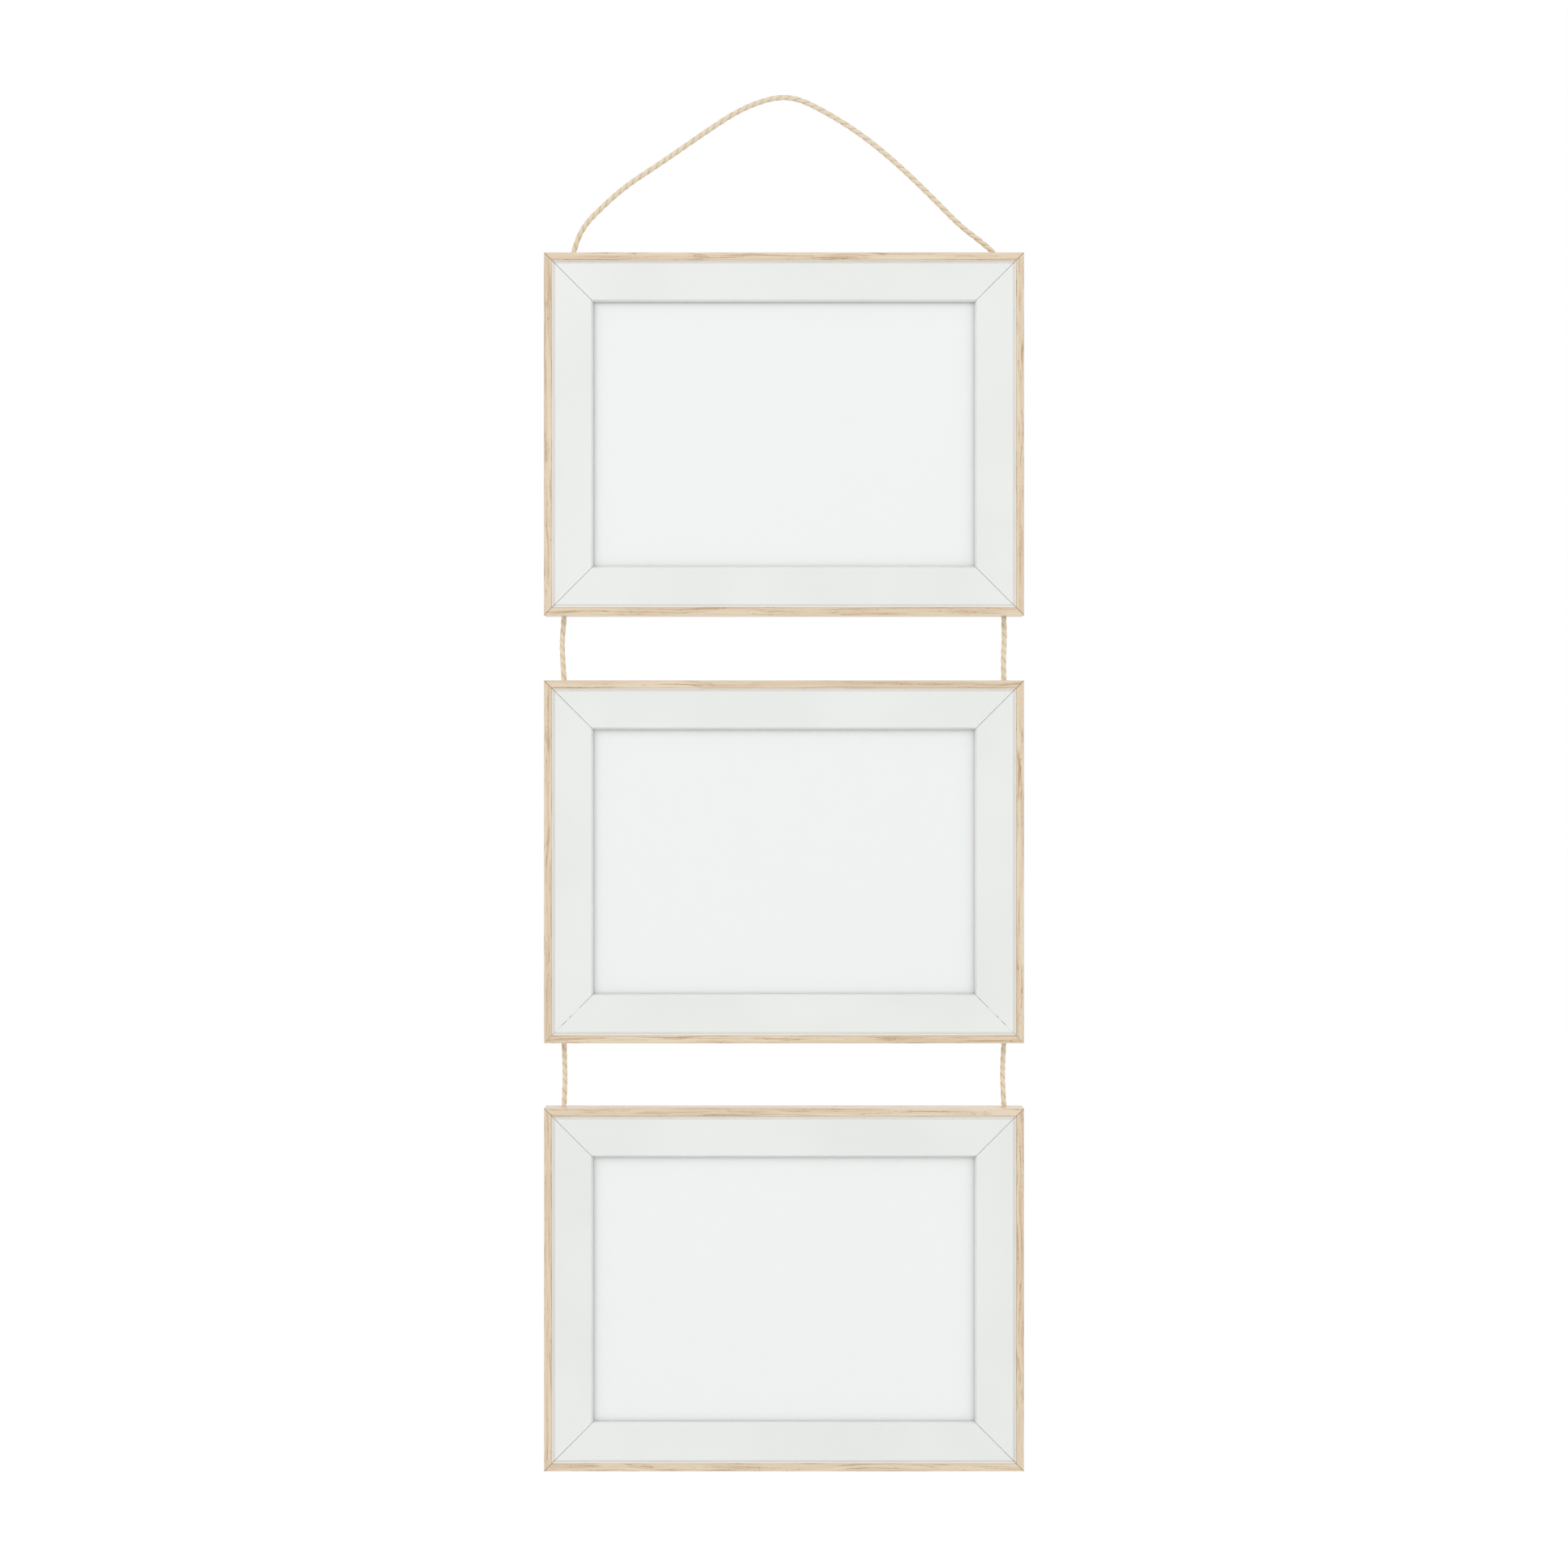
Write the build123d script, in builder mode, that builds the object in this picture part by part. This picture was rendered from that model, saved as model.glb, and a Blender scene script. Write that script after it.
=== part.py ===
"""Three landscape picture frames hung one below another on twisted cord.

Millimetres, +Z up, fronts toward -Y. The origin is the top of the hanging cord, where it lies on its hook.
"""

import os
from math import atan2, pi, sqrt, tan

from build123d import *

os.makedirs("parts", exist_ok=True)

# Print and sight size
print_w = 178.0
print_h = 127.0
print_overlap = 5.0
print_clear = 0.5

# Rim of oak strips round the white moulding
rim_w = 4.0
rim_round = 0.4
rim_chamfer = 0.7
rim_chamfer_depth = 0.35
rim_proud = 0.5
rim_mitre_gap = 0.1

# White moulding
moulding_w = 16.5
moulding_chamfer = 0.7
moulding_chamfer_depth = 0.35
sight_bevel = 0.8
sight_flat = 0.3
sight_round = 0.2
mitre_gap = 0.16

# Front lip of the moulding and the pack behind it
lip_t = 2.1
glazing_t = 1.2
insert_t = 5.0
board_t = 6.0
pack_clear = 0.05
board_sink = 0.1
board_round = 1.5

# Corner nails, V-shaped, flush with the back
nail_from_rim = 6.6
nail_arm = 4.0
nail_t = 0.6
nail_depth = 7.0

# Turn buttons and their screws
pivot_from_rim = 5.5
button_reach = 12.5
button_eye_r = 4.2
button_tip_r = 2.8
button_t = 1.0
button_lift = 0.1
button_edge = 0.25
rib_l = 7.0
rib_w = 1.6
rib_h = 0.5
rib_at = 10.0
screw_d = 2.6
screw_fit = 0.08
screw_bite = 9.0
screw_point = 0.9
head_d = 5.6
head_h = 1.6
head_round = 1.1
head_clear = 0.1
cross_l = 3.2
cross_w = 0.7
cross_depth = 0.7

# Cord, the grooves its ends are glued into and the staples across them
cord_d = 2.2
cord_clear = 0.35
bend_clear = 0.3
cord_gap = 28.3
loop_rise = 69.9
loop_inset = 11.8
link_inset = 8.0
end_round = 0.95
end_clear = 0.2
groove_clear = 0.15
groove_past = 1.15
staple_sink = 0.8
staple_clear = 0.35
staple_step = 2.8
staple_w = 4.4
staple_t = 0.7
staple_h = 0.9
staple_bite = 6.0
staple_round = 0.5
staple_fit = 0.02

# Sizes that follow from those above
window_w = print_w - 2 * print_overlap
window_h = print_h - 2 * print_overlap
moulding_outer_w = window_w + 2 * moulding_w
moulding_outer_h = window_h + 2 * moulding_w
frame_w = moulding_outer_w + 2 * rim_w
frame_h = moulding_outer_h + 2 * rim_w
half_w = frame_w / 2
half_h = frame_h / 2
rebate_depth = glazing_t + insert_t + board_t + 2 * pack_clear + board_sink
cord_r = cord_d / 2
nail_inset = rim_w + nail_from_rim
pivot_inset = rim_w + pivot_from_rim
bend_off = cord_r + cord_clear
groove_r = cord_r + groove_clear
staple_drop = rim_w + staple_clear + staple_h / 2
groove_l = staple_drop + staple_step + staple_h / 2 + groove_past
crown_y = cord_r + staple_fit + staple_t
back_y = crown_y + staple_sink
moulding_depth = lip_t + rebate_depth
frame_depth = moulding_depth + rim_proud
glazing_y = back_y - rebate_depth + glazing_t
insert_y = glazing_y + pack_clear + insert_t
board_y = insert_y + pack_clear + board_t
button_y = back_y + button_lift
head_y = button_y + button_t + head_clear
leg_y = crown_y - staple_bite
loop_x = half_w - loop_inset
link_x = half_w - link_inset

sides = ("top", "bottom", "left", "right")
pivots = {
    "top": (0, half_h - pivot_inset),
    "bottom": (0, pivot_inset - half_h),
    "left": (pivot_inset - half_w, 0),
    "right": (half_w - pivot_inset, 0),
}
inward = {"top": (0, -1), "bottom": (0, 1), "left": (1, 0), "right": (-1, 0)}

# Height of each frame's centre, and its cord ends as (x, +1 at the top edge or -1 at the bottom edge)
pitch = frame_h + cord_gap
centres = {
    "upper": -loop_rise - half_h,
    "middle": -loop_rise - half_h - pitch,
    "lower": -loop_rise - half_h - 2 * pitch,
}
cord_ends = {
    "upper": [(-loop_x, 1), (loop_x, 1), (-link_x, -1), (link_x, -1)],
    "middle": [(-link_x, 1), (link_x, 1), (-link_x, -1), (link_x, -1)],
    "lower": [(-link_x, 1), (link_x, 1)],
}


def facing_front(y, z):
    """A plane across the depth, its x along +X, its y along +Z and its normal to the front."""
    return Plane(origin=(0, y, z), x_dir=(1, 0, 0), z_dir=(0, -1, 0))


def mitred(side, outer_w, outer_h, width, gap):
    """The corners of one mitred length of a frame, with half the joint's gap left at each end."""
    shift = gap / sqrt(2)
    x = outer_w / 2
    z = outer_h / 2
    if side in ("top", "bottom"):
        s = 1 if side == "top" else -1
        return [
            (shift - x, s * z),
            (x - shift, s * z),
            (x - width - shift, s * (z - width)),
            (width + shift - x, s * (z - width)),
        ]
    s = 1 if side == "right" else -1
    return [
        (s * x, z - shift),
        (s * x, shift - z),
        (s * (x - width), width + shift - z),
        (s * (x - width), z - width - shift),
    ]


def long_edges(face):
    """The outer and then the inner long edge of a mitred length's front or back face."""
    by_length = face.edges().sort_by(SortBy.LENGTH)
    return by_length[-1], by_length[-2]


def cord_route(points):
    """A cord's points, run on at both ends by its radius, and the radii of the bends between them."""
    route = [Vector(*p) for p in points]
    route[0] = route[0] + (route[0] - route[1]).normalized() * cord_r
    route[-1] = route[-1] + (route[-1] - route[-2]).normalized() * cord_r
    runs = [b - a for a, b in zip(route, route[1:])]
    radii = []
    for a, b in zip(runs, runs[1:]):
        turn = atan2(a.cross(b).length, a.dot(b))
        radii.append(0.45 * min(a.length, b.length) / tan(turn / 2))
    return route, radii


def tube_ratio(tube, line):
    """A tube's volume over its section times the length of its line, which is 1 for a sound plain tube."""
    length = sum(e.length for e in line.edges())
    return round(tube.volume / (pi * cord_r**2 * length), 3)


# Hanging cord: the bends of its arch from left to right, as shares of the half span and of the rise
arch = [
    (-0.949, 0.169),
    (-0.869, 0.303),
    (-0.751, 0.443),
    (-0.579, 0.592),
    (-0.331, 0.821),
    (-0.198, 0.931),
    (-0.054, 1.000),
    (0.054, 1.000),
    (0.185, 0.919),
    (0.356, 0.779),
    (0.516, 0.608),
    (0.684, 0.397),
    (0.830, 0.198),
    (0.920, 0.108),
]
loop_points = [(-loop_x, 0, bend_off - loop_rise)]
loop_points += [(loop_x * across, 0, loop_rise * (up - 1)) for across, up in arch]
loop_points += [(loop_x, 0, bend_off - loop_rise)]
route, radii = cord_route(loop_points)
print("hanging cord bends", [round(r) for r in radii])
with BuildPart() as hanging_cord:
    with BuildLine() as loop_line:
        FilletPolyline(*route, radius=radii)
    with BuildSketch(Plane(origin=loop_line.line @ 0, z_dir=loop_line.line % 0)):
        Circle(cord_r)
    sweep()
    fillet(hanging_cord.faces().filter_by(GeomType.PLANE).edges(), end_round * cord_r)
hanging_cord.part.label = "hanging cord"
export_step(hanging_cord.part, "parts/hanging_cord.step")
print("hanging cord volume over section times length", tube_ratio(hanging_cord.part, loop_line.line))

# Link cords: the frames above and below, and the sideways bow of the left and the right cord at each third
links = {
    "upper_links": ("upper", "middle", {-1: (-0.9, -0.7), 1: (0.3, -0.3)}),
    "lower_links": ("middle", "lower", {-1: (0.3, 0.4), 1: (-0.5, -0.6)}),
}
for node, (above, below, bows) in links.items():
    high = centres[above] - half_h - bend_off
    low = centres[below] + half_h + bend_off
    third = (high - low) / 3
    with BuildPart() as pair:
        for s, (bow_a, bow_b) in bows.items():
            x = s * link_x
            link_points = [
                (x, 0, high),
                (x + bow_a, 0, high - third),
                (x + bow_b, 0, low + third),
                (x, 0, low),
            ]
            route, radii = cord_route(link_points)
            print(node, "bends", [round(r) for r in radii])
            with BuildLine() as link_line:
                FilletPolyline(*route, radius=radii)
            with BuildSketch(Plane(origin=link_line.line @ 0, z_dir=link_line.line % 0)):
                Circle(cord_r)
            sweep()
        fillet(pair.faces().filter_by(GeomType.PLANE).edges(), end_round * cord_r)
    pair.part.label = node.replace("_", " ")
    export_step(pair.part, f"parts/{node}.step")
    print(node, "volume over section times length", tube_ratio(pair.part, link_line.line) / 2)

for name, centre in centres.items():
    edge = {1: centre + half_h, -1: centre - half_h}

    # Corner nails, one arm of each in the length on either side of its mitre
    with BuildPart() as nails:
        with BuildSketch(facing_front(back_y, centre)):
            for sx in (-1, 1):
                for sz in (-1, 1):
                    x = half_w - nail_inset
                    z = half_h - nail_inset
                    nail_points = [
                        (sx * x, sz * z),
                        (sx * (x - nail_arm), sz * z),
                        (sx * (x - nail_arm), sz * (z - nail_t)),
                        (sx * (x - nail_t), sz * (z - nail_t)),
                        (sx * (x - nail_t), sz * (z - nail_arm)),
                        (sx * x, sz * (z - nail_arm)),
                    ]
                    with BuildLine():
                        Polyline(*nail_points, close=True)
                    make_face()
        extrude(amount=nail_depth)
    nails.part.label = f"{name} corner nails"
    export_step(nails.part, f"parts/{name}_nails.step")

    # Round-head screws that the turn buttons turn on
    with BuildPart() as screws:
        with BuildSketch(facing_front(head_y, centre)):
            with Locations(*pivots.values()):
                Circle(screw_d / 2)
        extrude(amount=head_y - back_y + screw_bite)
        chamfer(screws.faces().group_by(Axis.Y)[0].edges(), screw_point)
        with BuildSketch(facing_front(head_y, centre)):
            with Locations(*pivots.values()):
                Circle(head_d / 2)
        extrude(amount=-head_h)
        fillet(screws.faces().group_by(Axis.Y)[-1].edges(), head_round)
        with BuildSketch(facing_front(head_y + head_h, centre)):
            with Locations(*pivots.values()):
                Rectangle(cross_l, cross_w)
                Rectangle(cross_w, cross_l)
        extrude(amount=cross_depth, mode=Mode.SUBTRACT)
    screws.part.label = f"{name} screws"
    export_step(screws.part, f"parts/{name}_screws.step")

    # Wire staples, two across each cord end, their crowns sunk below the back
    with BuildPart() as staples:
        for x, s in cord_ends[name]:
            for drop in (staple_drop, staple_drop + staple_step):
                with BuildSketch(Plane.XY.offset(edge[s] - s * drop - staple_h / 2)):
                    with Locations((x, (crown_y + leg_y) / 2)):
                        Rectangle(staple_w, crown_y - leg_y)
                    with Locations((x, (crown_y - staple_t + leg_y) / 2)):
                        Rectangle(staple_w - 2 * staple_t, crown_y - staple_t - leg_y, mode=Mode.SUBTRACT)
                extrude(amount=staple_h)
        fillet(staples.edges().filter_by(Axis.Z).group_by(Axis.Y)[-1], staple_round)
    staples.part.label = f"{name} staples"
    export_step(staples.part, f"parts/{name}_staples.step")

    # Grooves from the edge, with a wider step at the back for the staples, and the cord ends that lie in them
    with BuildPart() as grooves:
        for x, s in cord_ends[name]:
            with BuildSketch(Plane.XY.offset(edge[s] + s * groove_r)):
                with Locations((x, 0)):
                    Circle(groove_r)
                with Locations((x, back_y)):
                    Rectangle(2 * groove_r, 2 * back_y)
                with Locations((x, back_y)):
                    Rectangle(staple_w + 2 * groove_clear, 2 * staple_sink)
            extrude(amount=-s * (groove_r + groove_l))

    with BuildPart() as ends:
        for x, s in cord_ends[name]:
            start = edge[s] + s * (bend_off - cord_r - bend_clear)
            stop = edge[s] - s * (groove_l - end_clear)
            with Locations((x, 0, (start + stop) / 2)):
                Cylinder(cord_r, abs(start - stop))
    ends.part.label = f"{name} cord ends"
    export_step(ends.part, f"parts/{name}_cord_ends.step")

    for side in sides:
        # Oak rim strip
        with BuildPart() as strip:
            with BuildSketch(facing_front(back_y, centre)):
                with BuildLine():
                    Polyline(*mitred(side, frame_w, frame_h, rim_w, rim_mitre_gap), close=True)
                make_face()
            extrude(amount=frame_depth)
            front = strip.faces().sort_by(Axis.Y)[0]
            chamfer(long_edges(front)[1], rim_chamfer, rim_chamfer_depth, reference=front)
            fillet(long_edges(strip.faces().sort_by(Axis.Y)[0])[0], rim_round)
            fillet(long_edges(strip.faces().sort_by(Axis.Y)[-1])[0], rim_round)
            add(grooves.part, mode=Mode.SUBTRACT)
        strip.part.label = f"{name} {side} rim"
        export_step(strip.part, f"parts/{name}_rim_{side}.step")

        # White moulding with its rebate and grooves, and the holes its nails, screw and staples have made
        with BuildPart() as moulding:
            with BuildSketch(facing_front(back_y, centre)):
                with BuildLine():
                    outline = mitred(side, moulding_outer_w, moulding_outer_h, moulding_w + sight_bevel, mitre_gap)
                    Polyline(*outline, close=True)
                make_face()
            extrude(amount=moulding_depth)
            front = moulding.faces().sort_by(Axis.Y)[0]
            chamfer(long_edges(front)[0], moulding_chamfer, moulding_chamfer_depth, reference=front)
            front = moulding.faces().sort_by(Axis.Y)[0]
            chamfer(long_edges(front)[1], sight_bevel, lip_t - sight_flat, reference=front)
            fillet(long_edges(moulding.faces().sort_by(Axis.Y)[0])[1], sight_round)
            with BuildSketch(facing_front(back_y, centre)):
                Rectangle(print_w + 2 * print_clear, print_h + 2 * print_clear)
            extrude(amount=rebate_depth, mode=Mode.SUBTRACT)
            add(nails.part, mode=Mode.SUBTRACT)
            add(screws.part, mode=Mode.SUBTRACT)
            add(staples.part, mode=Mode.SUBTRACT)
            add(grooves.part, mode=Mode.SUBTRACT)
        moulding.part.label = f"{name} {side} moulding"
        export_step(moulding.part, f"parts/{name}_moulding_{side}.step")

        # Turn button, its arm over the board
        pivot = pivots[side]
        ax, az = inward[side]
        tip = (pivot[0] + ax * button_reach, pivot[1] + az * button_reach)
        rib = (pivot[0] + ax * rib_at, pivot[1] + az * rib_at)
        with BuildPart() as button:
            with BuildSketch(facing_front(button_y, centre)):
                with Locations(pivot):
                    Circle(button_eye_r)
                with Locations(tip):
                    Circle(button_tip_r)
                make_hull()
            extrude(amount=-button_t)
            fillet(button.faces().sort_by(Axis.Y)[-1].edges(), button_edge)
            with BuildSketch(facing_front(button_y + button_t, centre)):
                with Locations(Location((rib[0], rib[1], 0), (0, 0, 90 * abs(az)))):
                    SlotOverall(rib_l, rib_w)
            extrude(amount=-rib_h)
            fillet(button.faces().sort_by(Axis.Y)[-1].edges(), 0.8 * rib_h)
            with BuildSketch(facing_front(button_y, centre)):
                with Locations(pivot):
                    Circle(screw_d / 2 + screw_fit)
            extrude(amount=-button_t, mode=Mode.SUBTRACT)
        button.part.label = f"{name} {side} turn button"
        export_step(button.part, f"parts/{name}_button_{side}.step")

    # Glazing, insert sheet and backing board, packed against the lip from behind
    with BuildPart() as glazing:
        with BuildSketch(facing_front(glazing_y, centre)):
            Rectangle(print_w, print_h)
        extrude(amount=glazing_t)
    glazing.part.label = f"{name} glazing"
    export_step(glazing.part, f"parts/{name}_glazing.step")

    with BuildPart() as insert:
        with BuildSketch(facing_front(insert_y, centre)):
            Rectangle(print_w, print_h)
        extrude(amount=insert_t)
    insert.part.label = f"{name} insert"
    export_step(insert.part, f"parts/{name}_insert.step")

    with BuildPart() as board:
        with BuildSketch(facing_front(board_y, centre)):
            RectangleRounded(print_w, print_h, board_round)
        extrude(amount=board_t)
    board.part.label = f"{name} backing board"
    export_step(board.part, f"parts/{name}_board.step")
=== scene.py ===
"""Dresses a set of three photo frames on cord: its twisted cord, oak, white paint, clear sheets and zinc."""

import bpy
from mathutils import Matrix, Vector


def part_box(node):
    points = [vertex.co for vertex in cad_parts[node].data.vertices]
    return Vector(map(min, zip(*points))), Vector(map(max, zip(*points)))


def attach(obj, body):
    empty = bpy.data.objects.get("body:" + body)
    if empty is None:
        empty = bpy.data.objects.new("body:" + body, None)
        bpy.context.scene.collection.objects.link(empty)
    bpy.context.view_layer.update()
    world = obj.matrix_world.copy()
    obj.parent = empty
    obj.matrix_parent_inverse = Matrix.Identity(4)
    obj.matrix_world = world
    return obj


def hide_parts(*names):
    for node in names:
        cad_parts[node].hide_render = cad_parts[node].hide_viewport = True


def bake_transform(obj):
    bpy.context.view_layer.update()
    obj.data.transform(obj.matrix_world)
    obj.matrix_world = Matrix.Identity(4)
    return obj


bl_info = {
    "name": "Hanging photo frame set",
    "version": (1, 0, 0),
    "blender": (4, 5, 0),
    "location": "View3D > Sidebar > Frame set",
    "description": "Makes the cords, finishes and studio of three photo frames hung one below another",
    "category": "Object",
}

from math import cos, pi, radians, sin, sqrt

import bmesh
import bpy
import numpy as np
from bpy.props import FloatProperty, FloatVectorProperty, IntProperty, PointerProperty
from mathutils import Vector

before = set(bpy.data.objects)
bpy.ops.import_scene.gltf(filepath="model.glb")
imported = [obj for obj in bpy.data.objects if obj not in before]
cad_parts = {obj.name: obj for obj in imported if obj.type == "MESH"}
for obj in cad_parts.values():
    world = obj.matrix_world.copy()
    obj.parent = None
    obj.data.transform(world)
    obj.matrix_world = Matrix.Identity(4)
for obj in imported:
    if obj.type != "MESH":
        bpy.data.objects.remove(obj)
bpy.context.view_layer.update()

FRAMES = ("upper", "middle", "lower")
SIDES = ("top", "bottom", "left", "right")

# Places taken from the solids
TOP = {name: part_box(f"{name}_rim_top")[1].z for name in FRAMES}
BOTTOM = {name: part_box(f"{name}_rim_bottom")[0].z for name in FRAMES}
HALF_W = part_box("upper_rim_right")[1].x
HALF_H = (TOP["upper"] - BOTTOM["upper"]) / 2
PITCH = TOP["upper"] - TOP["middle"]
RIM_W = HALF_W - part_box("upper_rim_right")[0].x
FRONT_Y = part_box("upper_rim_top")[0].y
REBATE_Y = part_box("upper_glazing")[0].y

# Routes of the cords, in metres, from end to end of each piece
ARCH = [
    (-0.0927, 0, -0.0789),
    (-0.0927, 0, -0.0735),
    (-0.0927, 0, -0.06845),
    (-0.0887, 0, -0.0573),
    (-0.08056, 0, -0.04872),
    (-0.06962, 0, -0.03893),
    (-0.05367, 0, -0.02852),
    (-0.03068, 0, -0.01251),
    (-0.01835, 0, -0.00482),
    (-0.00501, 0, 0),
    (0.00501, 0, 0),
    (0.01715, 0, -0.00566),
    (0.0330, 0, -0.01545),
    (0.04783, 0, -0.0274),
    (0.06341, 0, -0.04215),
    (0.07694, 0, -0.05606),
    (0.08528, 0, -0.06235),
    (0.0927, 0, -0.06845),
    (0.0927, 0, -0.0741),
    (0.0927, 0, -0.0789),
]
LINKS = {
    "upper_links": {
        "left": [
            (-0.0965, 0, -0.2189),
            (-0.0965, 0, -0.2243),
            (-0.0965, 0, -0.22935),
            (-0.0974, 0, -0.2378),
            (-0.0972, 0, -0.2463),
            (-0.0965, 0, -0.25585),
        ],
        "right": [
            (0.0965, 0, -0.2189),
            (0.0965, 0, -0.2243),
            (0.0965, 0, -0.22935),
            (0.0968, 0, -0.2378),
            (0.0962, 0, -0.2463),
            (0.0965, 0, -0.25585),
        ],
    },
    "lower_links": {
        "left": [
            (-0.0965, 0, -0.4052),
            (-0.0965, 0, -0.4106),
            (-0.0965, 0, -0.41565),
            (-0.0962, 0, -0.4241),
            (-0.0961, 0, -0.4326),
            (-0.0965, 0, -0.44215),
        ],
        "right": [
            (0.0965, 0, -0.4052),
            (0.0965, 0, -0.4106),
            (0.0965, 0, -0.41565),
            (0.0960, 0, -0.4241),
            (0.0959, 0, -0.4326),
            (0.0965, 0, -0.44215),
        ],
    },
}
TAILS = {
    "middle": {
        "left": [(-0.0965, 0, -0.2538), (-0.0965, 0, -0.2596), (-0.0965, 0, -0.2652)],
        "right": [(0.0965, 0, -0.2538), (0.0965, 0, -0.2596), (0.0965, 0, -0.2652)],
    },
    "lower": {
        "left": [(-0.0965, 0, -0.4401), (-0.0965, 0, -0.4459), (-0.0965, 0, -0.4515)],
        "right": [(0.0965, 0, -0.4401), (0.0965, 0, -0.4459), (0.0965, 0, -0.4515)],
    },
}

# How the strands are laid: lengths in metres, angles in radians
ARCH_STEPS, LINK_STEPS = 36, 24  # points read between two points of a route
STRAND_SIDES = 12
ARCH_PHASE, LINK_PHASES = 0.4, {"left": 1.3, "right": 2.6}  # angle of the first strand at the start
PRESS_RUN = 0.002  # cord that goes from its size in a groove to its free size
END_LAP, LINK_LAP, TAIL_LAP = 0.0003, 0.0006, 0.0011  # cord that thins out at an end
LAP_SIZE = 0.86  # size of a strand at its very end
SLIP_WAVES = ((1.0, 0.6, 0.023), (0.6, -0.4, 0.0091))  # size, lean and length of each wave in the twist
FIBRE_TURN = 0.35  # share of the lay in which a fibre goes once round its strand
FIBRE_RUN, FIBRE_APART = 315.0, 14.0  # fibre pattern along a metre of cord, and from strand to strand

# Lines beside the inner edge of the rim, each from where it starts to where it is full, in metres past that edge
# Painted shade: a dark line on the rim's chamfer, at the rim's inner edge.
RIM_EDGE_SHADE = (-0.00096, -0.00076)
# Partly painted highlight: a pale edge on the chamfer, paler than the wood and paler still where the chamfer catches
# the light.
CUT_EDGE_AND_HIGHLIGHT = (-0.00046, -0.00038)
# Painted shade: a grey line on the moulding beside the rim, for the shadow in the groove between them.
SHADE_LINE_OUTER = (0.00045, 0.0006)
SHADE_LINE_INNER = (0.0011, 0.0009)


def paint(red, green, blue):
    """A colour given as it looks on screen, from 0 to 255, as linear light."""
    shares = [value / 255 for value in (red, green, blue)]
    return tuple(c / 12.92 if c <= 0.04045 else ((c + 0.055) / 1.055) ** 2.4 for c in shares)


def dim(tone, by):
    """A colour made darker or lighter, up to white."""
    return tuple(min(value * by, 1) for value in tone)


def colour(name, description, value):
    """A colour setting."""
    return FloatVectorProperty(
        name=name, description=description, default=value, subtype="COLOR", size=3, min=0, max=1
    )


def length(name, description, value):
    """A length setting."""
    return FloatProperty(name=name, description=description, default=value, unit="LENGTH", precision=5, min=0)


class CordSettings(bpy.types.PropertyGroup):
    """Sizes and colours of the twisted cord."""

    diameter: length("Diameter", "Across the finished cord", 0.0022)
    lay: length("Lay", "Length of cord in which a strand goes once round", 0.0078)
    strands: IntProperty(name="Strands", description="Strands twisted together", default=2, min=2, max=4)
    fill: FloatProperty(
        name="Fill", description="Size of a soft strand, 1 where the strands only touch", default=1.6
    )
    crown: FloatProperty(name="Crown", description="Reach of the strands as a share of the diameter", default=1.1)
    uneven: FloatProperty(
        name="Uneven", description="How far the twist runs ahead or behind", default=0.35, unit="ROTATION"
    )
    light: colour("Light fibre", "Palest fibres on the crown of a strand", paint(238, 225, 200))
    dark: colour("Dark fibre", "Darkest fibres on a strand", paint(227, 210, 184))
    # Painted shade: the colour laid into the valleys between strands, darker than the shade their shape gives.
    crease_shade: colour("Crease", "Between two strands", paint(185, 162, 128))
    # Painted light: the link cords get a paler copy of the cord's finish, making up for the shade they get between
    # the frames.
    pale: FloatProperty(name="Pale", description="How much paler the link cords are", default=1.055, min=0)


class OakSettings(bpy.types.PropertyGroup):
    """Colours of the oak rims."""

    light: colour("Light wood", "Early wood", paint(232, 215, 190))
    middle: colour("Wood", "Main colour", paint(218, 197, 169))
    streak: colour("Streak", "Late wood lines", paint(185, 156, 121))
    pore: colour("Pore", "Open pores", paint(150, 120, 88))
    # Partly painted highlight: the chamfer's pale colour includes the light it catches.
    cut: colour("Cut edge", "Thin chamfer beside the white moulding", paint(243, 236, 226))


class PaintSettings(bpy.types.PropertyGroup):
    """Colours of the white mouldings."""

    white: colour("White", "Satin paint", paint(237, 239, 236))
    board: colour("Fibreboard", "Bare back and mitres", paint(176, 146, 110))


class PackSettings(bpy.types.PropertyGroup):
    """Colours of what lies behind the moulding."""

    card: colour("Card", "Plain white face of the insert", paint(246, 246, 246))
    board: colour("Board", "Brown fibreboard", paint(140, 101, 68))
    board_fibre: colour("Board fibre", "Darker fibres in the fibreboard", paint(104, 72, 47))
    sheet: colour("Sheet", "Tint of the clear sheet", (0.99, 0.995, 0.995))


class ZincSettings(bpy.types.PropertyGroup):
    """Colours of the turn buttons, screws, staples and corner nails."""

    bright: colour("Bright zinc", "Lighter grains", (0.50, 0.51, 0.53))
    dull: colour("Dull zinc", "Darker grains", (0.36, 0.37, 0.39))


class StudioSettings(bpy.types.PropertyGroup):
    """Camera, lights and floor."""

    distance: length("Camera distance", "From the front of the frames", 1.431)
    lens: FloatProperty(name="Lens", description="Focal length", default=75.5, unit="CAMERA")
    aim: FloatProperty(
        name="Aim", description="Height that the camera looks at", default=-0.3013, unit="LENGTH", precision=4
    )
    sky: FloatProperty(name="Sky", description="Share of the light that comes from all round", default=0.76, min=0)
    key: FloatProperty(name="Key", description="Watts of the large front light", default=12.5, unit="POWER")
    fill: FloatProperty(
        name="Fill", description="Watts of the light on the other side and of the back one", default=7.0, unit="POWER"
    )
    lamp: length("Lamp", "Side of each square light", 1.4)
    drop: length("Floor drop", "Floor below the origin", 1.3)
    reach: length("Floor reach", "Radius of the floor", 12.0)
    floor: colour("Floor", "Pale floor", (0.86, 0.86, 0.86))
    glow: FloatProperty(
        name="Floor glow", description="Light added to the floor where it is looked at", default=0.42, min=0
    )


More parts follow.
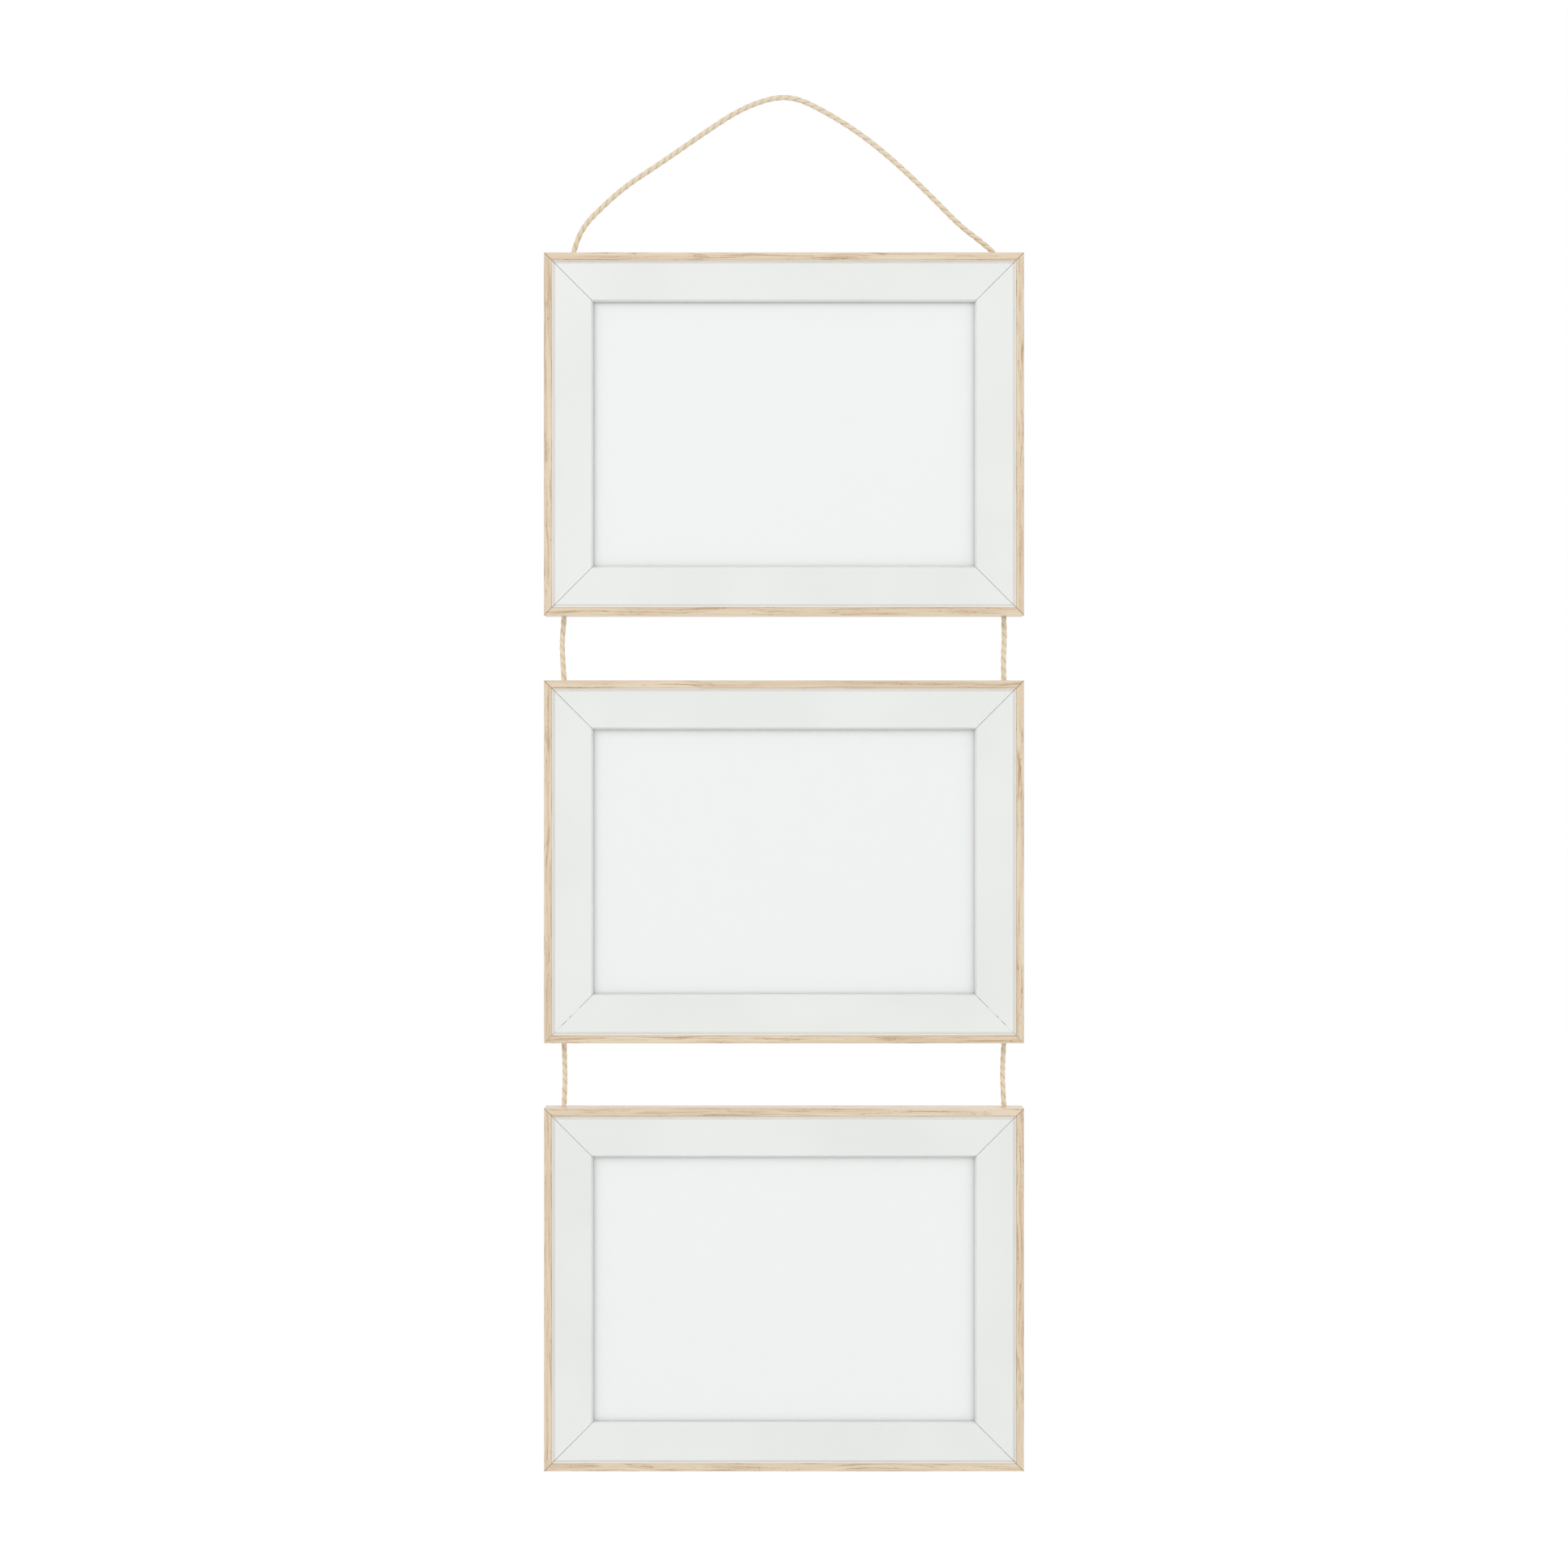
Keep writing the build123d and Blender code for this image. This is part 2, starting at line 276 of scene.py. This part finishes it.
def new_finish(name):
    """A material, its node tree and its main shader."""
    material = bpy.data.materials.new(name)
    material.use_nodes = True
    tree = material.node_tree
    return material, tree, tree.nodes["Principled BSDF"]


def plug(tree, node, values):
    """Links a node's inputs where the value is a socket, and sets them where it isn't."""
    for key, value in values.items():
        if isinstance(value, bpy.types.NodeSocket):
            tree.links.new(value, node.inputs[key])
        else:
            node.inputs[key].default_value = value


def add(tree, kind, values=None, **settings):
    """A shader node with its settings made and its inputs set or linked."""
    made = tree.nodes.new("ShaderNode" + kind)
    for key, value in settings.items():
        setattr(made, key, value)
    plug(tree, made, values or {})
    return made


def calc(tree, operation, *values):
    """The result of one Math node."""
    return add(tree, "Math", dict(enumerate(values)), operation=operation).outputs[0]


def weigh(tree, *terms):
    """Values added up, each times its weight."""
    total, *others = (calc(tree, "MULTIPLY", value, weight) for value, weight in terms)
    for other in others:
        total = calc(tree, "ADD", total, other)
    return total


def noise(tree, vector, scale, detail=2.0, roughness=0.5, distortion=0.0):
    """Noise from 0 to 1, at one scale or at a scale for each axis."""
    if isinstance(scale, tuple):
        vector = add(tree, "VectorMath", {0: vector, 1: scale}, operation="MULTIPLY").outputs[0]
        scale = 1.0
    values = {"Vector": vector, "Scale": scale, "Detail": detail, "Roughness": roughness, "Distortion": distortion}
    return add(tree, "TexNoise", values).outputs[0]


def rise(tree, value, low, high):
    """0 below low, 1 above high and a smooth step between, or the other way round where low is above high."""
    values = {"Value": value, "From Min": low, "From Max": high}
    return add(tree, "MapRange", values, interpolation_type="SMOOTHSTEP").outputs[0]


def between(tree, value, low, high):
    """Value from 0 to 1 moved to the range from low to high."""
    return add(tree, "MapRange", {"Value": value, "To Min": low, "To Max": high}).outputs[0]


def blend_colours(tree, share, first, second):
    """Two colours mixed, each a colour or a socket."""
    made = add(tree, "Mix", data_type="RGBA")
    plug(tree, made, {0: share})
    for index, value in ((6, first), (7, second)):
        plug(tree, made, {index: value if isinstance(value, bpy.types.NodeSocket) else (*value, 1)})
    return made.outputs[2]


def bump(tree, height, distance):
    """A bumped normal, with the height of the bumps in metres."""
    return add(tree, "Bump", {"Height": height, "Distance": distance}).outputs[0]


def place_of(tree):
    """The place on the solids."""
    return add(tree, "TexCoord").outputs["Object"]


def split(tree, vector):
    """The x, y and z of a vector."""
    return add(tree, "SeparateXYZ", {0: vector}).outputs


def from_edges(tree, spot):
    """How far a place lies inside its own frame's nearer side, and inside its nearer top or bottom."""
    centre = (TOP["upper"] + BOTTOM["upper"]) / 2
    down = calc(tree, "WRAP", calc(tree, "SUBTRACT", spot[2], centre), PITCH / 2, -PITCH / 2)
    from_side = calc(tree, "SUBTRACT", HALF_W, calc(tree, "ABSOLUTE", spot[0]))
    from_top = calc(tree, "SUBTRACT", HALF_H, calc(tree, "ABSOLUTE", down))
    return from_side, from_top


def past_rim(tree, from_side, from_top):
    """How far a place lies past the inner edge of its own frame's rim."""
    return calc(tree, "SUBTRACT", calc(tree, "MINIMUM", from_side, from_top), RIM_W)


def looked_at(tree):
    """1 where the camera looks, also by way of a shiny face or a clear sheet, and 0 where light is gathered."""
    path = add(tree, "LightPath").outputs
    seen = calc(tree, "MAXIMUM", path["Is Camera Ray"], path["Is Glossy Ray"])
    return calc(tree, "MAXIMUM", seen, path["Is Transmission Ray"])


def cord_finish(settings, name, pale):
    """Twisted cord: fine fibres that run round each strand, with painted shade that darkens the valleys between
    strands.
    """
    material, tree, shader = new_finish(name)
    # A pale value above 1 gives a lighter copy of the finish: painted light for cords that sit in shade.
    light, dark, deep = (dim(tone, pale) for tone in (settings.light, settings.dark, settings.crease_shade))
    along = add(tree, "Attribute", attribute_name="fibre").outputs["Vector"]
    crease_shade = add(tree, "Attribute", attribute_name="crease_shade").outputs["Fac"]
    fine = noise(tree, along, 9.0, detail=3.0, roughness=0.6)
    broad = noise(tree, along, 1.6)
    fibre = weigh(tree, (fine, 0.65), (broad, 0.35))
    strand = blend_colours(tree, rise(tree, fibre, 0.34, 0.66), dark, light)
    # Painted shade: deep in the valleys between strands the colour goes towards the shade colour.
    crease_shade_share = calc(tree, "MULTIPLY", rise(tree, crease_shade, 0.40, 1.0), between(tree, broad, 0.35, 1.35))
    values = {
        "Base Color": blend_colours(tree, crease_shade_share, strand, deep),
        "Roughness": between(tree, fine, 0.72, 0.95),
        "Normal": bump(tree, fine, 0.00003),
        "Specular IOR Level": 0.25,
        "Sheen Weight": 0.15,
    }
    plug(tree, shader, values)
    return material


def oak_finish(settings, along):
    """Light oak with its grain along x or z and open pores, and beside the moulding a dark line of painted shade and
    a pale chamfer edge that is partly painted highlight.
    """
    material, tree, shader = new_finish(f"oak_grain_{along}")
    place = place_of(tree)
    spot = split(tree, place)
    sway = calc(tree, "SUBTRACT", noise(tree, place, (24, 30, 30), detail=1.0), 0.5)
    sway = calc(tree, "MULTIPLY", sway, 0.0042)
    if along == "x":
        wander = add(tree, "CombineXYZ", {1: sway, 2: sway}).outputs[0]
        fibre, pores = (28, 1000, 1250), (480, 3200, 3200)
    else:
        wander = add(tree, "CombineXYZ", {0: sway, 1: sway}).outputs[0]
        fibre, pores = (1250, 1000, 28), (3200, 3200, 480)
    grain = add(tree, "VectorMath", {0: place, 1: wander}, operation="ADD").outputs[0]
    rings = noise(tree, grain, fibre, detail=3.0, roughness=0.62)
    tone = noise(tree, grain, tuple(value * 0.3 for value in fibre))
    pits = noise(tree, grain, pores, detail=1.0)
    pore = calc(tree, "MULTIPLY", rise(tree, pits, 0.60, 0.74), rise(tree, rings, 0.42, 0.62))
    wood = blend_colours(tree, rise(tree, tone, 0.32, 0.68), settings.middle, settings.light)
    wood = blend_colours(tree, rise(tree, rings, 0.46, 0.74), wood, settings.streak)
    wood = blend_colours(tree, calc(tree, "MULTIPLY", pore, 0.75), wood, settings.pore)

    from_side, from_top = from_edges(tree, spot)
    past = past_rim(tree, from_side, from_top)
    front = rise(tree, spot[1], FRONT_Y + 0.0007, FRONT_Y + 0.0005)
    # Painted shade: a dark line in the pore colour on the chamfer at the rim's inner edge.
    line = calc(tree, "MULTIPLY", rise(tree, past, *RIM_EDGE_SHADE), front)
    # Partly painted highlight: the chamfer's pale edge beside the moulding.
    cut = calc(tree, "MULTIPLY", rise(tree, past, *CUT_EDGE_AND_HIGHLIGHT), front)
    from_mitre = calc(tree, "ABSOLUTE", calc(tree, "SUBTRACT", from_side, from_top))
    mitre = rise(tree, from_mitre, 0.0005, 0.0001)
    wood = blend_colours(tree, calc(tree, "MULTIPLY", line, 0.3), wood, settings.pore)
    wood = blend_colours(tree, cut, wood, settings.cut)
    wood = blend_colours(tree, calc(tree, "MULTIPLY", mitre, 0.4), wood, settings.pore)
    relief = calc(tree, "SUBTRACT", calc(tree, "MULTIPLY", rings, 0.35), pore)
    values = {
        "Base Color": wood,
        "Roughness": between(tree, rings, 0.42, 0.60),
        "Normal": bump(tree, relief, 0.00006),
        "Coat Weight": 0.5,
        "Coat Roughness": 0.24,
    }
    plug(tree, shader, values)
    return material


def moulding_finish(settings):
    """White satin paint with a fine peel, on fibreboard that is bare at the back and deep in the mitres."""
    material, tree, shader = new_finish("white_satin_on_fibreboard")
    place = place_of(tree)
    spot = split(tree, place)
    cloud = noise(tree, place, 18.0)
    peel = noise(tree, place, 900.0, roughness=0.55)
    past = past_rim(tree, *from_edges(tree, spot))
    # Painted shade: a grey line beside the rim, where the groove between rim and moulding lies in shade.
    groove_shade = calc(tree, "MULTIPLY", rise(tree, past, *SHADE_LINE_OUTER), rise(tree, past, *SHADE_LINE_INNER))
    coat = blend_colours(tree, rise(tree, cloud, 0.3, 0.7), dim(settings.white, 0.965), settings.white)
    coat = blend_colours(tree, groove_shade, coat, dim(settings.white, 0.87))

    fuzz = noise(tree, place, (1100, 1100, 1100), detail=4.0, roughness=0.7)
    bare = blend_colours(tree, fuzz, settings.board, dim(settings.board, 1.25))
    normal = split(tree, add(tree, "TexCoord").outputs["Normal"])
    slant = calc(tree, "MULTIPLY", calc(tree, "ABSOLUTE", normal[0]), calc(tree, "ABSOLUTE", normal[2]))
    deep = rise(tree, spot[1], FRONT_Y + 0.002, FRONT_Y + 0.003)
    mitre = calc(tree, "MULTIPLY", rise(tree, slant, 0.40, 0.46), deep)
    behind = rise(tree, spot[1], REBATE_Y - 0.00006, REBATE_Y - 0.00003)
    raw = calc(tree, "MAXIMUM", mitre, behind)
    satin = between(tree, noise(tree, place, 140.0, detail=3.0), 0.34, 0.48)
    values = {
        "Base Color": blend_colours(tree, raw, coat, bare),
        "Roughness": calc(tree, "MAXIMUM", satin, calc(tree, "MULTIPLY", raw, 0.85)),
        "Normal": bump(tree, weigh(tree, (peel, 0.12), (fuzz, raw)), 0.00005),
    }
    plug(tree, shader, values)
    return material


def sheet_finish(settings):
    """Clear acrylic sheet that lets the light through to the board behind it."""
    material, tree, shader = new_finish("clear_acrylic")
    tint = (*settings.sheet, 1)
    plug(tree, shader, {"Base Color": tint, "Roughness": 0.0, "IOR": 1.49, "Transmission Weight": 1.0})
    clear = add(tree, "BsdfTransparent", {"Color": tint})
    path = add(tree, "LightPath").outputs
    through = calc(tree, "MAXIMUM", path["Is Shadow Ray"], path["Is Diffuse Ray"])
    pane = add(tree, "MixShader", {0: through, 1: shader.outputs[0], 2: clear.outputs[0]})
    plug(tree, tree.nodes["Material Output"], {"Surface": pane.outputs[0]})
    return material


def card_finish(settings):
    """Plain white paper face with a faint fibre."""
    material, tree, shader = new_finish("white_paper_face")
    place = place_of(tree)
    fibre = noise(tree, place, 1400.0, detail=3.0, roughness=0.6)
    cloud = noise(tree, place, 9.0, detail=1.0)
    mottle = weigh(tree, (fibre, 0.4), (cloud, 0.6))
    values = {
        "Base Color": blend_colours(tree, mottle, dim(settings.card, 0.985), settings.card),
        "Roughness": between(tree, fibre, 0.80, 0.95),
        "Normal": bump(tree, fibre, 0.00002),
    }
    plug(tree, shader, values)
    return material


def board_finish(settings):
    """Brown fibreboard: pressed fibres, a little darker here and there."""
    material, tree, shader = new_finish("brown_fibreboard")
    place = place_of(tree)
    fine = noise(tree, place, 1300.0, detail=4.0, roughness=0.65)
    wisps = noise(tree, place, (180, 180, 420), detail=3.0, roughness=0.6, distortion=1.2)
    cloud = noise(tree, place, 24.0)
    mottle = weigh(tree, (fine, 0.45), (wisps, 0.35), (cloud, 0.20))
    values = {
        "Base Color": blend_colours(tree, rise(tree, mottle, 0.36, 0.62), settings.board_fibre, settings.board),
        "Roughness": between(tree, wisps, 0.50, 0.72),
        "Normal": bump(tree, fine, 0.00006),
    }
    plug(tree, shader, values)
    return material


def zinc_finish(settings):
    """Zinc on steel, with a faint grain of brighter and duller patches and fine rubbing marks."""
    material, tree, shader = new_finish("zinc_on_steel")
    place = place_of(tree)
    patch = add(tree, "TexVoronoi", {"Vector": place, "Scale": 900.0}).outputs["Color"]
    patch = add(tree, "SeparateColor", {0: patch}).outputs[0]
    rub = noise(tree, place, (2400, 2400, 300), detail=3.0)
    values = {
        "Base Color": blend_colours(tree, patch, settings.dull, settings.bright),
        "Metallic": 1.0,
        "Roughness": between(tree, rub, 0.26, 0.44),
        "Normal": bump(tree, rub, 0.00002),
    }
    plug(tree, shader, values)
    return material


def read_route(points, steps):
    """The points of a cord's smooth line, read from a spline with the route as its control points."""
    curve = bpy.data.curves.new("route", "CURVE")
    curve.dimensions = "3D"
    spline = curve.splines.new("NURBS")
    spline.points.add(len(points) - 1)
    for knot, spot in zip(spline.points, points):
        knot.co = (*spot, 1)
    spline.order_u = 3
    spline.use_endpoint_u = True
    spline.resolution_u = steps
    holder = bpy.data.objects.new("route", curve)
    line = bpy.data.meshes.new_from_object(holder)
    found = np.array([v.co for v in line.vertices])
    bpy.data.meshes.remove(line)
    bpy.data.objects.remove(holder)
    bpy.data.curves.remove(curve)
    return found


def run_of(line):
    """The length of the line up to each of its points."""
    return np.concatenate([[0], np.cumsum(np.linalg.norm(np.diff(line, axis=0), axis=1))])


def unit(vectors):
    """Each vector at length 1."""
    return vectors / np.linalg.norm(vectors, axis=1)[:, None]


def slip_of(line):
    """How far the twist runs ahead or behind at each point of a line, as a share of the setting."""
    return sum(
        size * np.sin(2 * pi * (line[:, 2] + lean * line[:, 0]) / wave) for size, lean, wave in SLIP_WAVES
    )


def twist(settings, line, phase, held, lap):
    """Strands laid round a line: their points, faces, fibre places and how far down towards the valley between
    strands each point lies, the mask for painted shade there.

    Phase is the first strand's angle at the start. Held is the length at the start and at the end that lies in a
    groove, pressed to the cord's diameter under its staples. Lap is the length at the start and at the end over
    which the strands thin out, so that a piece that goes on from there covers them.
    """
    run = run_of(line)
    ahead = unit(np.gradient(line, run, axis=0))
    back = np.tile((0.0, 1.0, 0.0), (len(line), 1))
    across = np.cross(ahead, back)
    share = sin(pi / settings.strands)
    crown_r = settings.crown * settings.diameter / 2
    strand_r = settings.fill * crown_r * share / (1 + share)
    lay_r = crown_r - strand_r
    crease_r = lay_r * cos(pi / settings.strands) + sqrt(strand_r**2 - (lay_r * share) ** 2)
    size = np.ones(len(run))
    for end, from_end in enumerate((run, run[-1] - run)):
        if held[end]:
            pressed = [held[end] - PRESS_RUN, held[end]]
            size = np.minimum(size, np.interp(from_end, pressed, [1 / settings.crown, 1]))
        size = np.minimum(size, np.interp(from_end, [0, lap[end]], [LAP_SIZE, 1]))
    turned = phase - 2 * pi * run / settings.lay + settings.uneven * slip_of(line)
    turns = np.arange(STRAND_SIDES) * 2 * pi / STRAND_SIDES
    wind = turns + 2 * pi * run[:, None] / (FIBRE_TURN * settings.lay)
    points, faces, fibres, crease_shade_masks = [], [], [], []
    for strand in range(settings.strands):
        angle = turned + 2 * pi * strand / settings.strands
        out = back * np.cos(angle)[:, None] + across * np.sin(angle)[:, None]
        middle = line + out * (lay_r * size)[:, None]
        forward = unit(np.gradient(middle, run, axis=0))
        out = unit(out - forward * np.sum(out * forward, axis=1)[:, None])
        side = np.cross(forward, out)
        ring = out[:, None] * np.cos(turns)[:, None] + side[:, None] * np.sin(turns)[:, None]
        skin = middle[:, None] + ring * (strand_r * size)[:, None, None]
        reach = np.linalg.norm(skin - line[:, None], axis=2) / size[:, None]
        far = np.broadcast_to(FIBRE_RUN * run[:, None] + FIBRE_APART * strand, wind.shape)
        points.append(skin.reshape(-1, 3))
        fibres.append(np.stack([np.cos(wind), np.sin(wind), far], 2).reshape(-1, 3))
        # How far each point lies down towards the valley between strands: the mask for the painted shade there.
        crease_shade_masks.append(np.clip((crown_r - reach) / (crown_r - crease_r), 0, 1).reshape(-1))
        first = strand * skin[:, :, 0].size
        last = first + (len(line) - 1) * STRAND_SIDES
        for start in range(first, last, STRAND_SIDES):
            for j in range(STRAND_SIDES):
                a = start + j
                b = start + (j + 1) % STRAND_SIDES
                faces.append((a, b, b + STRAND_SIDES, a + STRAND_SIDES))
        faces.append(tuple(first + j for j in reversed(range(STRAND_SIDES))))
        faces.append(tuple(last + j for j in range(STRAND_SIDES)))
    return np.concatenate(points), faces, np.concatenate(fibres), np.concatenate(crease_shade_masks)


def cord_piece(name, twisted, material):
    """One object from one or more twisted lengths."""
    points, faces, fibres, crease_shade_masks = [], [], [], []
    for more_points, more_faces, more_fibres, more_crease_shade_masks in twisted:
        first = sum(len(p) for p in points)
        points.append(more_points)
        fibres.append(more_fibres)
        crease_shade_masks.append(more_crease_shade_masks)
        faces += [tuple(first + corner for corner in face) for face in more_faces]
    mesh = bpy.data.meshes.new(name)
    mesh.from_pydata(np.concatenate(points).tolist(), [], faces)
    mesh.attributes.new("fibre", "FLOAT_VECTOR", "POINT").data.foreach_set("vector", np.concatenate(fibres).ravel())
    mesh.attributes.new("crease_shade", "FLOAT", "POINT").data.foreach_set("value", np.concatenate(crease_shade_masks))
    mesh.shade_smooth()
    mesh.materials.append(material)
    piece = bpy.data.objects.new(name, mesh)
    bpy.context.scene.collection.objects.link(piece)
    return piece


def cover(nodes, material):
    """Gives CAD nodes a finish."""
    for name in nodes:
        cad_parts[name].material_slots[0].material = material


class FRAMESET_OT_studio(bpy.types.Operator):
    """Makes the camera, the soft light and the pale floor"""

    bl_idname = "frameset.studio"
    bl_label = "Studio"

    def execute(self, context):
        settings = context.scene.frameset_studio
        scene = context.scene
        scene.view_settings.view_transform = "Standard"

        lens = bpy.data.cameras.new("camera")
        lens.lens = settings.lens
        lens.sensor_width = 36.0
        camera = bpy.data.objects.new("camera", lens)
        camera.location = (0, FRONT_Y - settings.distance, settings.aim)
        camera.rotation_euler = (radians(90), 0, 0)
        scene.collection.objects.link(camera)
        scene.camera = camera

        world = bpy.data.worlds.new("white_room")
        world.use_nodes = True
        scene.world = world
        tree = world.node_tree
        light = tree.nodes["Background"]
        plug(tree, light, {"Color": (1, 1, 1, 1), "Strength": settings.sky})
        seen = add(tree, "Background", {"Color": (1, 1, 1, 1), "Strength": 1.0})
        room = add(tree, "MixShader", {0: looked_at(tree), 1: light.outputs[0], 2: seen.outputs[0]})
        plug(tree, tree.nodes["World Output"], {"Surface": room.outputs[0]})

        aim = Vector((0, 0, settings.aim))
        for name, watts, spot in (
            ("key_light", settings.key, (-1.3, -1.7, 0.9)),
            ("fill_light", settings.fill, (1.6, -1.6, 0.2)),
            ("back_light", settings.fill, (0.9, 1.9, 0.9)),
        ):
            lamp = bpy.data.lights.new(name, "AREA")
            lamp.energy = watts
            lamp.size = settings.lamp
            holder = bpy.data.objects.new(name, lamp)
            holder.location = spot
            holder.rotation_mode = "QUATERNION"
            holder.rotation_quaternion = (aim - Vector(spot)).to_track_quat("-Z", "Y")
            holder.visible_camera = False
            scene.collection.objects.link(holder)

        material, tree, shader = new_finish("pale_floor")
        values = {
            "Base Color": (*settings.floor, 1),
            "Roughness": 0.9,
            "Emission Color": (1, 1, 1, 1),
            "Emission Strength": calc(tree, "MULTIPLY", looked_at(tree), settings.glow),
        }
        plug(tree, shader, values)
        mesh = bpy.data.meshes.new("floor")
        shape = bmesh.new()
        bmesh.ops.create_circle(shape, cap_ends=True, segments=96, radius=settings.reach)
        shape.to_mesh(mesh)
        shape.free()
        mesh.materials.append(material)
        floor = bpy.data.objects.new("floor", mesh)
        floor.location = (0, 0, -settings.drop)
        scene.collection.objects.link(floor)
        return {"FINISHED"}


class FRAMESET_OT_hanging_cord(bpy.types.Operator):
    """Lays the strands of the hanging cord, with its two ends in their grooves"""

    bl_idname = "frameset.hanging_cord"
    bl_label = "Hanging cord"

    def execute(self, context):
        settings = context.scene.frameset_cord
        line = read_route(ARCH, ARCH_STEPS)
        edge = TOP["upper"]
        held = (edge - line[0][2], edge - line[-1][2])
        strands = twist(settings, line, ARCH_PHASE, held, (END_LAP, END_LAP))
        piece = cord_piece("hanging_cord_strands", [strands], cord_finish(settings, "twisted_cord", 1))
        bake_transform(piece)
        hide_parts("hanging_cord", "upper_cord_ends")
        return {"FINISHED"}


class FRAMESET_OT_link_cords(bpy.types.Operator):
    """Lays the strands of the four link cords and of their lower ends"""

    bl_idname = "frameset.link_cords"
    bl_label = "Link cords"

    def execute(self, context):
        settings = context.scene.frameset_cord
        # Painted light: a paler copy of the cord's finish, for the link cords that sit in shade between the frames.
        material = cord_finish(settings, "twisted_link_cord_painted_lighter", settings.pale)
        for node, above, below in (("upper_links", "upper", "middle"), ("lower_links", "middle", "lower")):
            edge = BOTTOM[above]
            ends = []
            for side, phase in LINK_PHASES.items():
                line = read_route(LINKS[node][side], LINK_STEPS)
                strands = twist(settings, line, phase, (line[0][2] - edge, 0), (END_LAP, LINK_LAP))
                piece = cord_piece(f"{node}_{side}_strands", [strands], material)
                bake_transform(piece)
                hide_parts(node)
                tail = read_route(TAILS[below][side], LINK_STEPS)
                overlap = tail[0][2] - line[-1][2]
                tail_phase = phase - 2 * pi * (run_of(line)[-1] - overlap) / settings.lay
                held = (0, TOP[below] - tail[-1][2])
                ends.append(twist(settings, tail, tail_phase, held, (TAIL_LAP, END_LAP)))
            tails = cord_piece(f"{below}_cord_tails", ends, material)
            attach(tails, f"{below}_frame")
            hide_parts(f"{below}_cord_ends")
        return {"FINISHED"}


class FRAMESET_OT_oak_rims(bpy.types.Operator):
    """Gives the rim strips their oak, with the grain along each strip"""

    bl_idname = "frameset.oak_rims"
    bl_label = "Oak rims"

    def execute(self, context):
        settings = context.scene.frameset_oak
        level = oak_finish(settings, "x")
        upright = oak_finish(settings, "z")
        for name in FRAMES:
            cover([f"{name}_rim_top", f"{name}_rim_bottom"], level)
            cover([f"{name}_rim_left", f"{name}_rim_right"], upright)
        return {"FINISHED"}


class FRAMESET_OT_mouldings(bpy.types.Operator):
    """Gives the mouldings their white paint and bare fibreboard"""

    bl_idname = "frameset.mouldings"
    bl_label = "White mouldings"

    def execute(self, context):
        material = moulding_finish(context.scene.frameset_paint)
        cover([f"{name}_moulding_{side}" for name in FRAMES for side in SIDES], material)
        return {"FINISHED"}


class FRAMESET_OT_glazing(bpy.types.Operator):
    """Gives the glazing its clear sheet"""

    bl_idname = "frameset.glazing"
    bl_label = "Glazing"

    def execute(self, context):
        cover([f"{name}_glazing" for name in FRAMES], sheet_finish(context.scene.frameset_pack))
        return {"FINISHED"}


class FRAMESET_OT_inserts(bpy.types.Operator):
    """Gives the insert boards their plain white paper face"""

    bl_idname = "frameset.inserts"
    bl_label = "Insert boards"

    def execute(self, context):
        cover([f"{name}_insert" for name in FRAMES], card_finish(context.scene.frameset_pack))
        return {"FINISHED"}


class FRAMESET_OT_boards(bpy.types.Operator):
    """Gives the backing boards their brown fibreboard"""

    bl_idname = "frameset.boards"
    bl_label = "Backing boards"

    def execute(self, context):
        cover([f"{name}_board" for name in FRAMES], board_finish(context.scene.frameset_pack))
        return {"FINISHED"}


class FRAMESET_OT_hardware(bpy.types.Operator):
    """Gives the turn buttons, screws, staples and corner nails their zinc"""

    bl_idname = "frameset.hardware"
    bl_label = "Hardware"

    def execute(self, context):
        material = zinc_finish(context.scene.frameset_zinc)
        for name in FRAMES:
            cover([f"{name}_{kind}" for kind in ("screws", "staples", "nails")], material)
            cover([f"{name}_button_{side}" for side in SIDES], material)
        return {"FINISHED"}


STEPS = (
    FRAMESET_OT_studio,
    FRAMESET_OT_hanging_cord,
    FRAMESET_OT_link_cords,
    FRAMESET_OT_oak_rims,
    FRAMESET_OT_mouldings,
    FRAMESET_OT_glazing,
    FRAMESET_OT_inserts,
    FRAMESET_OT_boards,
    FRAMESET_OT_hardware,
)
SETTINGS = {
    "frameset_cord": CordSettings,
    "frameset_oak": OakSettings,
    "frameset_paint": PaintSettings,
    "frameset_pack": PackSettings,
    "frameset_zinc": ZincSettings,
    "frameset_studio": StudioSettings,
}


class FRAMESET_PT_panel(bpy.types.Panel):
    """Lists the pieces of the frame set and their settings"""

    bl_idname = "FRAMESET_PT_panel"
    bl_label = "Photo frame set"
    bl_space_type = "VIEW_3D"
    bl_region_type = "UI"
    bl_category = "Frame set"

    def draw(self, context):
        for step in STEPS:
            self.layout.operator(step.bl_idname)
        for name, group in SETTINGS.items():
            box = self.layout.box()
            box.label(text=group.__doc__)
            for setting in group.__annotations__:
                box.prop(getattr(context.scene, name), setting)


def register():
    """Registers the settings, the steps and the panel."""
    for name, group in SETTINGS.items():
        bpy.utils.register_class(group)
        setattr(bpy.types.Scene, name, PointerProperty(type=group))
    for step in (*STEPS, FRAMESET_PT_panel):
        bpy.utils.register_class(step)


def unregister():
    """Takes the panel, the steps and the settings out again."""
    for step in (FRAMESET_PT_panel, *reversed(STEPS)):
        bpy.utils.unregister_class(step)
    for name, group in SETTINGS.items():
        delattr(bpy.types.Scene, name)
        bpy.utils.unregister_class(group)


def main():
    """Makes every piece in order."""
    register()
    bpy.ops.frameset.studio()
    bpy.ops.frameset.hanging_cord()
    bpy.ops.frameset.link_cords()
    bpy.ops.frameset.oak_rims()
    bpy.ops.frameset.mouldings()
    bpy.ops.frameset.glazing()
    bpy.ops.frameset.inserts()
    bpy.ops.frameset.boards()
    bpy.ops.frameset.hardware()


if __name__ == "__main__":
    main()
